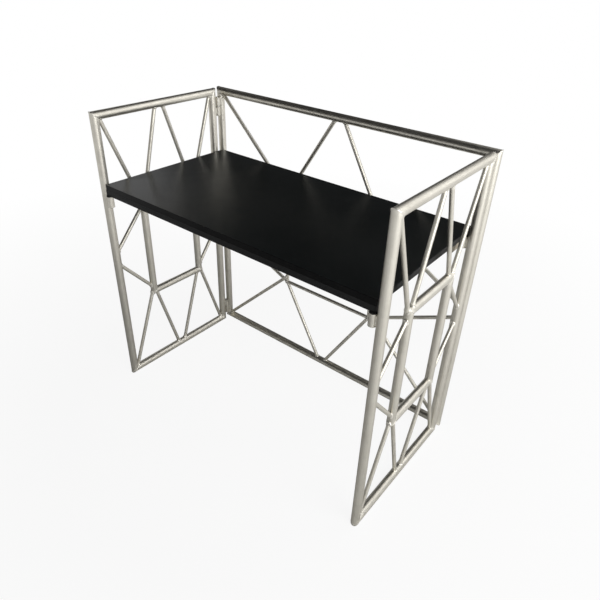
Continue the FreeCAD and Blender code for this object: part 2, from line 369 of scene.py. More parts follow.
def lay_tube(tube, buried, start, end, side):
    """Gives an upright tube a middle ring and its marks, and lays it between two points."""
    length = (end - start).length
    bpy.ops.object.mode_set(mode="EDIT")
    bpy.ops.mesh.select_all(action="SELECT")
    bpy.ops.mesh.bisect(plane_co=(0, 0, length / 2), plane_no=UP)
    bpy.ops.object.mode_set(mode="OBJECT")
    mark_tube(tube, length, buried)
    tube.matrix_world = axes(start, end - start, side)
    settle(tube)
    bpy.ops.object.shade_smooth_by_angle(angle=SMOOTH_ANGLE)
    return tube


def mitred_tube(start, end, inward, radius, sides):
    """Tube between two corner points, cut at 45 degrees at both ends."""
    length = (end - start).length
    spare = 2 * radius
    tube = round_bar(length + 2 * spare, radius, sides)
    tube.location = (0, 0, -spare)
    settle(tube)
    bpy.ops.object.mode_set(mode="EDIT")
    keep_above((0, 0, 0), (-1, 0, 1))
    keep_above((0, 0, length), (-1, 0, -1))
    bpy.ops.object.mode_set(mode="OBJECT")
    return lay_tube(tube, 0, start, end, inward)


def join(pieces):
    """One piece out of several."""
    choose_only(pieces[0])
    for piece in pieces:
        piece.select_set(True)
    bpy.ops.object.join()
    return pieces[0]


def copy_of(piece):
    """Copy with its own mesh."""
    twin = piece.copy()
    twin.data = piece.data.copy()
    bpy.context.collection.objects.link(twin)
    return twin


def soften(piece, width, segments=3):
    """Rounds the piece's hard edges."""
    choose_only(piece)
    bevel = piece.modifiers.new("Rounded edges", "BEVEL")
    bevel.width = width
    bevel.segments = segments
    bevel.limit_method = "ANGLE"
    bevel.angle_limit = SMOOTH_ANGLE
    bevel.harden_normals = True
    bpy.ops.object.shade_smooth()
    bpy.ops.object.modifier_apply(modifier=bevel.name)


def thicken(piece, wall):
    """Gives an open skin a wall on its inner side."""
    choose_only(piece)
    solid = piece.modifiers.new("Wall", "SOLIDIFY")
    solid.thickness = wall
    solid.offset = -1
    bpy.ops.object.modifier_apply(modifier=solid.name)


def block(low, high):
    """Box between two corners."""
    bpy.ops.object.select_all(action="DESELECT")
    bpy.ops.mesh.primitive_cube_add(size=1, location=(low + high) / 2, scale=high - low)
    return settle(bpy.context.object)


def sleeve(foot, radius, bore, height, rim, sides):
    """Upright round sleeve with turned rims, standing on a point."""
    bpy.ops.object.select_all(action="DESELECT")
    bpy.ops.mesh.primitive_cylinder_add(vertices=sides, radius=radius, depth=height,
                                        end_fill_type="NOTHING",
                                        location=foot + UP * height / 2)
    ring = settle(bpy.context.object)
    thicken(ring, radius - bore)
    soften(ring, rim)
    return ring


def dress(piece, name, body, slot, material, *nodes):
    """Names a finished piece, gives it its finish and sets it on its body."""
    piece.name = name
    piece.data.name = name
    piece.data.materials.clear()
    piece.data.materials.append(material_named(material))
    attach(piece, body)
    if nodes:
        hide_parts(*nodes)


# Panels

class Panel:
    """A flat welded frame, by distance along it and height above its bottom rail's axis."""

    def __init__(self, name, body, first, last, along, sizes):
        self.name = name
        self.body = body
        self.first = first
        self.last = last
        self.along = Vector(along)
        self.normal = self.along.cross(UP)
        self.sizes = sizes
        self.is_wing = name != "front"
        self.corner = middle(f"{name}_{first}_post")
        self.corner.z = middle(f"{name}_bottom_rail").z
        self.length = self.distance(f"{name}_{last}_post")
        self.height = middle(f"{name}_top_rail").z - self.corner.z

    def distance(self, node):
        """How far along the panel a CAD node lies."""
        return (middle(node) - self.corner).dot(self.along)

    def at(self, distance, height):
        """Point in the panel's plane."""
        return self.corner + self.along * distance + UP * height

    def outer(self):
        """Axes of the outer tubes: first, last, bottom and top."""
        return 0, self.length, 0, self.height

    def window(self):
        """Axes of the window: first, last, bottom and top."""
        return (self.distance(self.window_name(self.first)),
                self.distance(self.window_name(self.last)),
                middle(self.window_name("bottom")).z - self.corner.z,
                middle(self.window_name("top")).z - self.corner.z)

    def tube_name(self, side):
        """CAD node of an outer tube."""
        return f"{self.name}_{side}_{'rail' if side in ('top', 'bottom') else 'post'}"

    def window_name(self, side):
        """CAD node of a window's tube."""
        return f"{self.name}_window_{side}"

    def window_radius(self):
        """Radius of the window's tubes: the wings have thicker ones."""
        return self.sizes.window_radius if self.is_wing else self.sizes.bar_radius

    def rectangle(self, first, last, bottom, top):
        """Axis ends of four tubes, each with the way towards the middle."""
        return {
            "bottom": (self.at(first, bottom), self.at(last, bottom), UP),
            "top": (self.at(first, top), self.at(last, top), -UP),
            self.first: (self.at(first, bottom), self.at(first, top), self.along),
            self.last: (self.at(last, bottom), self.at(last, top), -self.along),
        }

    def lay_rectangle(self, edges, radius, name_of):
        """Models and dresses the four mitred tubes of a rectangle."""
        for side, (start, end, inward) in self.rectangle(*edges).items():
            tube = mitred_tube(start, end, inward, radius, self.sizes.tube_sides)
            node = name_of(side)
            dress(tube, f"{node}_tube", self.body, "tube_aluminium", "Drawn aluminium", node)

    def landings(self):
        """Both ends of the lacing bars, keyed by side: window end first."""
        s = self.sizes
        if self.is_wing:
            corner, spread, inner = (s.wing_corner_landing, s.wing_corner_spread,
                                     s.wing_middle_spread)
            rise, side_rise, shift, drop = 0, s.wing_side_rise, 0, 0
        else:
            corner, spread, inner = s.front_corner_landing, 0, 0
            rise, side_rise, shift, drop = (s.front_corner_rise, 0, s.front_top_shift,
                                            s.front_post_drop)
        first, last, bottom, top = self.window()
        node = self.length / 2
        post_node = self.height / 2 - drop
        ends = {}
        for side, height, sill, inward, rail_node in (
                ("top", self.height, top, -1, node + shift), ("bottom", 0, bottom, 1, node)):
            jamb_height = sill + inward * rise
            ends[side] = [
                ((first - spread, jamb_height), (corner, height)),
                ((last + spread, jamb_height), (self.length - corner, height)),
                ((first + inner, sill), (rail_node - s.rail_landing, height)),
                ((last - inner, sill), (rail_node + s.rail_landing, height)),
            ]
        ends["side"] = [
            ((jamb, sill + inward * side_rise), (post, post_node - inward * s.post_landing))
            for jamb, post in ((first, 0), (last, self.length))
            for sill, inward in ((top, -1), (bottom, 1))]
        return {side: [(self.at(*a), self.at(*b)) for a, b in pairs]
                for side, pairs in ends.items()}


def panels(sizes):
    """The three panels of the booth."""
    return [Panel("front", "front_panel", "left", "right", (1, 0, 0), sizes),
            Panel("left", "left_wing", "far", "near", (0, -1, 0), sizes),
            Panel("right", "right_wing", "far", "near", (0, -1, 0), sizes)]


# Welds

RIPPLE_POINTS = 3  # crest, slope and hollow
FOOT_EASING = 2  # times that a foot bead's path is evened out
SEAM_TAPER = ((0.75, 2.5), (0.6, 0.5))  # share of the width, and rings from the end


def bead_from_ring(ring, size, welds):
    """Turns a ring of points into a rippled bead that swells here and there."""
    choose_only(ring)
    bpy.ops.object.convert(target="CURVE")
    curve = bpy.context.object.data
    curve.dimensions = "3D"
    curve.bevel_depth = size
    curve.bevel_resolution = welds.bead_steps
    points = curve.splines[0].points
    depth = welds.ripple_depth
    profile = (1 + depth, 1 + depth / 4, 1 - depth)
    start = random.uniform(0, 2 * math.pi)
    swells = random.randint(welds.fewest_swells, welds.most_swells)
    for index, point in enumerate(points):
        turn = start + swells * 2 * math.pi * index / len(points)
        uneven = (1 + welds.swell * math.sin(turn)
                  + random.uniform(-welds.jitter, welds.jitter))
        point.radius = profile[index % RIPPLE_POINTS] * uneven
    bpy.ops.object.convert(target="MESH")
    bpy.ops.object.shade_smooth()
    return bpy.context.object


def ripple_points(run, welds):
    """Number of points for a run of weld."""
    return RIPPLE_POINTS * max(welds.fewest_ripples, round(run / welds.ripple_pitch))


def ring_at(matrix, radius, count):
    """Circle of points in the matrix's plane."""
    bpy.ops.object.select_all(action="DESELECT")
    bpy.ops.mesh.primitive_circle_add(vertices=count, radius=radius)
    ring = bpy.context.object
    ring.matrix_world = matrix
    return settle(ring)


def foot_bead(anvil, start, end, normal, radius, welds):
    """Bead where a bar's skin runs into the tubes at its far end."""
    run = (end - start).normalized()
    reach = (end - start).length
    count = ripple_points(2 * math.pi * radius, welds)
    ring = ring_at(axes(start, run, normal), radius - welds.bar_sink, count)
    depths = []
    for vertex in ring.data.vertices:
        hit, place, _, _ = anvil.ray_cast(vertex.co, run)
        depth = (place - vertex.co).length if hit else reach
        depths.append(min(depth, reach))
    for _ in range(FOOT_EASING):
        depths = [(depths[i - 1] + 2 * depths[i] + depths[(i + 1) % count]) / 4
                  for i in range(count)]
    for vertex, depth in zip(ring.data.vertices, depths):
        vertex.co += run * (depth + welds.bar_sink)
    return bead_from_ring(ring, welds.bar_bead, welds)


def mitre_bead(corner, diagonal, normal, radius, welds):
    """Bead round the slanted joint of two mitred tubes."""
    slant = math.sqrt(2)
    count = ripple_points(2 * math.pi * radius * (1 + slant) / 2, welds)
    matrix = axes(corner, normal.cross(diagonal), normal)
    ring = ring_at(matrix @ Matrix.Diagonal((1, slant, 1, 1)), radius - welds.mitre_sink, count)
    return bead_from_ring(ring, welds.mitre_bead, welds)


def seam_bead(run, welds):
    """Upright bead that stands on the origin, rippled ring by ring, with tapered ends."""
    def widen(share, test):
        """Scales the points that pass a test, away from the bead's axis."""
        pick(bead, "VERT", test)
        bpy.ops.transform.resize(value=(share, share, 1), center_override=(0, 0, 0))

    bead = round_bar(run, welds.seam_bead, welds.seam_sides)
    rings = ripple_points(run, welds)
    pick_edges(bead, is_upright)
    bpy.ops.mesh.subdivide(number_cuts=rings)
    step = run / (rings + 1)
    for phase, share in ((0, 1 + welds.ripple_depth), (2, 1 - welds.ripple_depth)):
        widen(share, lambda point, phase=phase: round(point.co.z / step) % RIPPLE_POINTS == phase)
    for share, reach in SEAM_TAPER:
        widen(share, lambda point, reach=reach:
              min(point.co.z, run - point.co.z) < reach * step)
    bpy.ops.object.mode_set(mode="OBJECT")
    bpy.ops.object.shade_smooth_by_angle(angle=SEAM_SMOOTH_ANGLE)
    return bead


def seam_pair(seam, groove, aside):
    """Copies of a seam bead on both sides of a groove's middle."""
    pair = []
    for side in (-1, 1):
        bead = copy_of(seam)
        bead.location = groove + aside * side
        pair.append(settle(bead))
    return pair


def ground_flush(piece):
    """Cuts the welds back to the booth's own outside faces."""
    choose_only(piece)
    bpy.ops.object.mode_set(mode="EDIT")
    for axis in range(3):
        for limit, sign in ((cad_low, 1), (cad_high, -1)):
            normal = Vector((0, 0, 0))
            normal[axis] = sign
            keep_above(limit, normal)
    bpy.ops.object.mode_set(mode="OBJECT")


# Shader nodes

class Nodes:
    """Adds nodes to one shader tree, and links them."""

    def __init__(self, tree):
        self.tree = tree

    def add(self, kind, inputs=None, **settings):
        """New node, its sockets set to values or linked to other sockets."""
        node = self.tree.nodes.new(f"ShaderNode{kind}")
        for key, value in settings.items():
            setattr(node, key, value)
        for key, value in (inputs or {}).items():
            if isinstance(value, bpy.types.NodeSocket):
                self.link(value, node.inputs[key])
            else:
                node.inputs[key].default_value = value
        return node

    def link(self, output, socket):
        """Feeds one socket from another."""
        self.tree.links.new(output, socket)

    def mix(self, factor, first, second):
        """Colour between two, by a factor."""
        # The sockets of one kind of mix share their names with other kinds, so they are counted.
        return self.add("Mix", {0: factor, 6: first, 7: second}, data_type="RGBA").outputs[2]

    def tint(self, colour, other, mask, share):
        """Colour moved towards another by a share of a mask."""
        return self.mix(self.times(mask, share), colour, other)

    def rescale(self, value, from_low, from_high, to_low, to_high):
        """Value moved from one range to another, and held inside it."""
        return self.add("MapRange", {"Value": value, "From Min": from_low, "From Max": from_high,
                                     "To Min": to_low, "To Max": to_high}).outputs["Result"]

    def mask(self, value, low, high):
        """0 up to the low value, 1 from the high one on."""
        return self.rescale(value, low, high, 0, 1)

    def between(self, mask, low, high):
        """Value that a mask moves from low to high."""
        return self.rescale(mask, 0, 1, low, high)

    def maths(self, operation, first, second):
        """Two values worked into one."""
        return self.add("Math", {0: first, 1: second}, operation=operation).outputs[0]

    def times(self, value, share):
        """A share of a value."""
        return self.maths("MULTIPLY", value, share)

    def total(self, first, *others):
        """Sum of two or more values."""
        for other in others:
            first = self.maths("ADD", first, other)
        return first

    def vectors(self, operation, first, second, output="Vector"):
        """Two places worked into one, or into a distance."""
        return self.add("VectorMath", {0: first, 1: second}, operation=operation).outputs[output]

    def noise(self, place, scale, detail=2.0, roughness=0.5, distortion=0.0):
        """Soft random pattern."""
        return self.add("TexNoise", {"Vector": place, "Scale": scale, "Detail": detail,
                                     "Roughness": roughness,
                                     "Distortion": distortion}).outputs[0]

    def white_share(self, seen, bounced):
        """Share of white for the camera's own rays and for mirrored ones."""
        path = self.add("LightPath").outputs
        mirrored = self.maths("MAXIMUM", path["Is Glossy Ray"], path["Is Transmission Ray"])
        return self.maths("MAXIMUM", self.times(path["Is Camera Ray"], seen),
                          self.times(mirrored, bounced))


class Effect(Nodes):
    """A shared group under way, with a place, one setting and masks that it puts out."""

    def __init__(self, name, setting, kind, default, *masks):
        super().__init__(bpy.data.node_groups.new(name, "ShaderNodeTree"))
        sockets = self.tree.interface
        sockets.new_socket("Vector", in_out="INPUT", socket_type="NodeSocketVector")
        sockets.new_socket(setting, in_out="INPUT", socket_type=kind).default_value = default
        for mask in masks:
            sockets.new_socket(mask, in_out="OUTPUT", socket_type="NodeSocketFloat")
        given = self.tree.nodes.new("NodeGroupInput").outputs
        self.place, self.setting = given["Vector"], given[setting]
        self.results = self.tree.nodes.new("NodeGroupOutput").inputs

    def put_out(self, mask, value):
        """Makes a value one of the group's results."""
        self.link(value, self.results[mask])


def drawn_lines():
    """Fine lines that run along a drawn or turned surface, and broader bands of them."""
    effect = Effect("Drawn Lines", "Stretch", "NodeSocketVector", (900, 900, 6),
                    "Lines", "Bands")
    fine = effect.vectors("MULTIPLY", effect.place, effect.setting)
    lines = effect.noise(fine, scale=1.0, detail=3.0, roughness=0.65)
    bands = effect.noise(fine, scale=0.22)
    effect.put_out("Lines", effect.mask(lines, low=0.3, high=0.7))
    effect.put_out("Bands", effect.mask(bands, low=0.35, high=0.65))
    return effect.tree


def handling_haze():
    """Uneven dulling from hands and cloths, with smaller spots in it."""
    effect = Effect("Handling Haze", "Scale", "NodeSocketFloat", 12.0, "Haze", "Spots")
    haze = effect.noise(effect.place, effect.setting, detail=5.0, roughness=0.6, distortion=0.6)
    finer = 14.0  # scale of the spots against that of the haze
    spots = effect.noise(effect.place, effect.times(effect.setting, finer))
    effect.put_out("Haze", effect.mask(haze, low=0.38, high=0.66))
    effect.put_out("Spots", effect.mask(spots, low=0.62, high=0.74))
    return effect.tree


def rub_marks():
    """Sparse thin scratches, lying in two directions."""
    effect = Effect("Rub Marks", "Scale", "NodeSocketFloat", 20.0, "Marks")
    line_width = 0.012  # share of a cell
    marks = []
    for turn, stretch in ((0.5, (1, 14, 1)), (-1.1, (12, 1, 1))):
        turned = effect.add("VectorRotate", {"Vector": effect.place, "Angle": turn},
                            rotation_type="Z_AXIS").outputs[0]
        cells = effect.add("TexVoronoi",
                           {"Vector": effect.vectors("MULTIPLY", turned, stretch),
                            "Scale": effect.setting, "Randomness": 1.0},
                           feature="DISTANCE_TO_EDGE").outputs["Distance"]
        thin = effect.rescale(cells, 0, line_width, 1, 0)
        patch = effect.mask(effect.noise(turned, scale=9.0), low=0.52, high=0.68)
        marks.append(effect.times(thin, patch))
    effect.put_out("Marks", effect.maths("MAXIMUM", *marks))
    return effect.tree


def fine_grit():
    """Height of a fine pebbled or cast skin."""
    effect = Effect("Fine Grit", "Scale", "NodeSocketFloat", 900.0, "Height")
    grains = effect.noise(effect.place, effect.setting, roughness=0.55)
    coarser = 0.3  # scale of the lumps against that of the grains
    lumps = effect.noise(effect.place, effect.times(effect.setting, coarser), detail=1.0)
    effect.put_out("Height", effect.total(grains, effect.times(lumps, share=0.5)))
    return effect.tree


EFFECTS = {"Drawn Lines": drawn_lines, "Handling Haze": handling_haze,
           "Rub Marks": rub_marks, "Fine Grit": fine_grit}


class Coat(Nodes):
    """A material under way, with its shader and the place that its effects follow."""

    def __init__(self, name, place_mark=None):
        self.material = bpy.data.materials.new(name)
        self.material.use_nodes = True
        super().__init__(self.material.node_tree)
        self.shader = self.tree.nodes["Principled BSDF"]
        self.place = (self.mark(place_mark)["Vector"] if place_mark
                      else self.add("TexCoord").outputs["Object"])

    def mark(self, name):
        """Outputs of a mark that is stored in the mesh."""
        return self.add("Attribute", attribute_name=name).outputs

    def effect(self, name, **setting):
        """Masks of a shared effect, which is built at its first use."""
        group = bpy.data.node_groups.get(name) or EFFECTS[name]()
        return self.add("Group", {"Vector": self.place, **setting}, node_tree=group).outputs

    def surface(self, colour, rough, **values):
        """Links colour and roughness, and sets other sockets by name, with _ for a space."""
        self.link(colour, self.shader.inputs["Base Color"])
        self.link(rough, self.shader.inputs["Roughness"])
        for key, value in values.items():
            self.shader.inputs[key.replace("_", " ")].default_value = value

    def relief(self, height, strength, depth):
        """Fine relief that is too small to model; gives the finished material."""
        bump = self.add("Bump", {"Height": height, "Strength": strength, "Distance": depth})
        self.link(bump.outputs["Normal"], self.shader.inputs["Normal"])
        return self.material


# Materials

def drawn_tube(name, colours, low_rough, high_rough):
    """Satin tube: lines along its length, dulled by hands, frosted beside the welds."""
    coat = Coat(name, place_mark="tube_space")
    lines = coat.effect("Drawn Lines", Stretch=(1100, 1100, 5))
    haze = coat.effect("Handling Haze", Scale=16.0)
    marks = coat.effect("Rub Marks", Scale=34.0)["Marks"]
    frost_near, frost_far = 0.004, 0.016  # from the weld, where the frost starts to fade and ends
    wander = coat.between(haze["Haze"], -frost_near, frost_near)
    from_weld = coat.total(coat.mark("weld_distance")["Fac"], wander)
    frost = coat.rescale(from_weld, frost_near, frost_far, 1, 0)
    dull = coat.total(coat.times(haze["Haze"], share=0.45),
                      coat.times(lines["Bands"], share=0.25),
                      coat.times(lines["Lines"], share=0.15))
    colour = coat.mix(dull, colours.aluminium, colours.aluminium_dull)
    colour = coat.tint(colour, colours.weld, frost, share=0.55)
    colour = coat.tint(colour, colours.aluminium_dull, haze["Spots"], share=0.25)
    rough = coat.total(coat.between(lines["Lines"], low_rough, high_rough),
                       coat.times(haze["Haze"], share=0.07), coat.times(frost, share=0.10),
                       coat.times(marks, share=-0.12))
    coat.surface(colour, rough, Metallic=1.0, Specular_Tint=colours.metal_edge)
    scored = coat.total(lines["Lines"], coat.times(marks, share=-0.8))
    return coat.relief(scored, strength=0.18, depth=0.0001)


def weld_metal(name, colours):
    """Bead metal: bright, grainy, with darker oxide in patches."""
    coat = Coat(name)
    haze = coat.effect("Handling Haze", Scale=90.0)["Haze"]
    coat.surface(coat.tint(colours.weld, colours.aluminium_dull, haze, share=0.5),
                 coat.between(haze, low=0.36, high=0.50),
                 Metallic=1.0, Specular_Tint=colours.metal_edge)
    grit = coat.effect("Fine Grit", Scale=1400.0)["Height"]
    return coat.relief(grit, strength=0.15, depth=0.0002)


def turned_metal(name, colours, clean, dull, low_rough, high_rough):
    """Turned or plated metal: fine rings round an upright axis."""
    coat = Coat(name)
    lines = coat.effect("Drawn Lines", Stretch=(12, 12, 2400))["Lines"]
    haze = coat.effect("Handling Haze", Scale=60.0)
    colour = coat.tint(getattr(colours, clean), getattr(colours, dull), haze["Haze"], share=0.7)
    rough = coat.total(coat.between(lines, low_rough, high_rough),
                       coat.times(haze["Spots"], share=0.1))
    coat.surface(colour, rough, Metallic=1.0, Specular_Tint=colours.metal_edge)
    return coat.relief(lines, strength=0.10, depth=0.0001)


def faced_board(name, colours):
    """Satin black board face: fine pebble, wiped haze, a few light rubs and dust."""
    coat = Coat(name)
    grit = coat.effect("Fine Grit", Scale=1300.0)["Height"]
    haze = coat.effect("Handling Haze", Scale=5.0)["Haze"]
    marks = coat.effect("Rub Marks", Scale=9.0)["Marks"]
    dust = coat.effect("Handling Haze", Scale=42.0)["Spots"]
    colour = coat.tint(colours.laminate, colours.laminate_wiped, haze, share=0.5)
    colour = coat.tint(colour, colours.laminate_rub, marks, share=0.03)
    colour = coat.tint(colour, colours.dust, dust, share=0.015)
    peaks = coat.mask(grit, low=0.5, high=1)
    rough = coat.total(coat.between(haze, low=0.31, high=0.37), coat.times(peaks, share=0.05),
                       coat.times(dust, share=0.05))
    coat.surface(colour, rough, IOR=1.48, Specular_IOR_Level=0.48)
    return coat.relief(grit, strength=0.08, depth=0.0002)


def band_plastic(name, colours):
    """Edge band: satin plastic with the long lines of the trimmer."""
    coat = Coat(name)
    lines = coat.effect("Drawn Lines", Stretch=(7, 7, 1600))["Lines"]
    haze = coat.effect("Handling Haze", Scale=14.0)
    colour = coat.mix(haze["Haze"], colours.band, colours.band_worn)
    colour = coat.tint(colour, colours.band_speck, haze["Spots"], share=0.06)
    coat.surface(colour, coat.between(lines, low=0.30, high=0.42), Specular_IOR_Level=0.09)
    return coat.relief(lines, strength=0.06, depth=0.0001)


def painted_batten(name, colours):
    """Black paint on timber: the grain shows through as long shallow lines."""
    coat = Coat(name)
    grain = coat.effect("Drawn Lines", Stretch=(5, 420, 420))["Bands"]
    haze = coat.effect("Handling Haze", Scale=11.0)
    grit = coat.effect("Fine Grit", Scale=1000.0)["Height"]
    colour = coat.mix(grain, colours.paint, colours.paint_thin)
    colour = coat.tint(colour, colours.paint_chip, haze["Spots"], share=0.10)
    coat.surface(colour, coat.between(haze["Haze"], low=0.42, high=0.56),
                 Specular_IOR_Level=0.17)
    return coat.relief(coat.total(grain, coat.times(grit, share=0.3)), strength=0.16, depth=0.0004)


def bare_plywood(name, colours):
    """Far batten: plies one on another, with the grain along the face."""
    coat = Coat(name)
    grain = coat.effect("Drawn Lines", Stretch=(9, 300, 300))["Lines"]
    haze = coat.effect("Handling Haze", Scale=9.0)["Haze"]
    height = coat.add("SeparateXYZ", {0: coat.place}).outputs["Z"]
    ply = 0.0024  # thickness of one ply
    wander = coat.between(coat.noise(coat.place, scale=30.0), -ply / 6, ply / 6)
    plies = coat.maths("PINGPONG", coat.total(height, wander), ply)
    plies = coat.mask(plies, low=0.375 * ply, high=0.625 * ply)
    colour = coat.tint(colours.plywood, colours.plywood_dark, plies, share=0.6)
    colour = coat.tint(colour, colours.plywood_dark, grain, share=0.35)
    colour = coat.tint(colour, colours.plywood_pale, haze, share=0.25)
    coat.surface(colour, coat.between(grain, low=0.6, high=0.8))
    return coat.relief(coat.total(grain, plies), strength=0.2, depth=0.0003)


def pad_rubber(name, colours):
    """Matt rubber with a moulded skin and rubbed patches."""
    coat = Coat(name)
    haze = coat.effect("Handling Haze", Scale=50.0)["Haze"]
    coat.surface(coat.mix(haze, colours.rubber, colours.rubber_worn),
                 coat.between(haze, low=0.62, high=0.8))
    grit = coat.effect("Fine Grit", Scale=800.0)["Height"]
    return coat.relief(grit, strength=0.25, depth=0.0003)


MATERIALS = {
    "Drawn aluminium": partial(drawn_tube, low_rough=0.34, high_rough=0.43),
    "Drawn rod": partial(drawn_tube, low_rough=0.42, high_rough=0.50),
    "Weld metal": weld_metal,
    "Knuckle aluminium": partial(turned_metal, clean="aluminium", dull="aluminium_dull",
                                 low_rough=0.28, high_rough=0.40),
    "Hinge steel": partial(turned_metal, clean="steel", dull="steel_dull",
                           low_rough=0.22, high_rough=0.34),
    "Screw zinc": partial(turned_metal, clean="steel", dull="zinc_dull",
                          low_rough=0.26, high_rough=0.40),
    "Black board face": faced_board,
    "Black edge band": band_plastic,
    "Painted batten": painted_batten,
    "Bare plywood": bare_plywood,
    "Pad rubber": pad_rubber,
}


def material_named(name):
    """One of the booth's finishes, built at its first use."""
    return (bpy.data.materials.get(name)
            or MATERIALS[name](name, bpy.context.scene.booth_finish))


# Operators

class BOOTH_OT_outer_tubes(bpy.types.Operator):
    """Model the mitred rails and posts of the three panels"""
    bl_idname = "booth.outer_tubes"
    bl_label = "Outer Tubes"

    def execute(self, context):
        sizes = context.scene.booth_lattice
        for panel in panels(sizes):
            panel.lay_rectangle(panel.outer(), sizes.tube_radius, panel.tube_name)
        return {"FINISHED"}


class BOOTH_OT_window_tubes(bpy.types.Operator):
    """Model the mitred tubes of the panels' windows"""
    bl_idname = "booth.window_tubes"
    bl_label = "Window Tubes"

    def execute(self, context):
        for panel in panels(context.scene.booth_lattice):
            panel.lay_rectangle(panel.window(), panel.window_radius(), panel.window_name)
        return {"FINISHED"}


class BOOTH_OT_lacing_bars(bpy.types.Operator):
    """Model the slanted bars between the windows and the outer tubes"""
    bl_idname = "booth.lacing_bars"
    bl_label = "Lacing Bars"

    def execute(self, context):
        sizes = context.scene.booth_lattice
        for panel in panels(sizes):
            for side, pairs in panel.landings().items():
                bars = []
                for start, end in pairs:
                    bar = round_bar((end - start).length, sizes.bar_radius, sizes.bar_sides)
                    bars.append(lay_tube(bar, sizes.tube_radius, start, end, panel.normal))
                node = f"{panel.name}_{side}_bars"
                dress(join(bars), f"{node}_set", panel.body, "tube_aluminium", "Drawn rod", node)
        return {"FINISHED"}


class BOOTH_OT_welds(bpy.types.Operator):
    """Lay the weld beads round bar feet and mitred corners"""
    bl_idname = "booth.welds"
    bl_label = "Panel Welds"

    def execute(self, context):
        sizes, welds = context.scene.booth_lattice, context.scene.booth_welds
        for panel in panels(sizes):
            beads = join(self.corner_beads(sizes, welds, panel)
                         + self.bar_beads(sizes, welds, panel))
            ground_flush(beads)
            dress(beads, f"{panel.name}_panel_welds", panel.body, "tube_aluminium", "Weld metal")
        return {"FINISHED"}

    def corner_beads(self, sizes, welds, panel):
        """Mitre beads at the corners of the panel and of its window."""
        beads = []
        for (first, last, bottom, top), radius in (
                (panel.outer(), sizes.tube_radius), (panel.window(), panel.window_radius())):
            for distance, way in ((first, 1), (last, -1)):
                for height, lift in ((bottom, 1), (top, -1)):
                    diagonal = (panel.along * way + UP * lift).normalized()
                    beads.append(mitre_bead(panel.at(distance, height), diagonal,
                                            panel.normal, radius, welds))
        return beads

    def bar_beads(self, sizes, welds, panel):
        """Foot beads at both ends of every lacing bar."""
        sides = panel.rectangle(*panel.outer())
        names = [*map(panel.tube_name, sides), *map(panel.window_name, sides)]
        anvil = join([copy_of(bpy.data.objects[f"{name}_tube"]) for name in names])
        anvil.parent = None
        beads = []
        for pairs in panel.landings().values():
            for start, end in pairs:
                halfway = (start + end) / 2
                for tip in (start, end):
                    beads.append(foot_bead(anvil, halfway, tip, panel.normal,
                                           sizes.bar_radius, welds))
        bpy.data.objects.remove(anvil)
        return beads


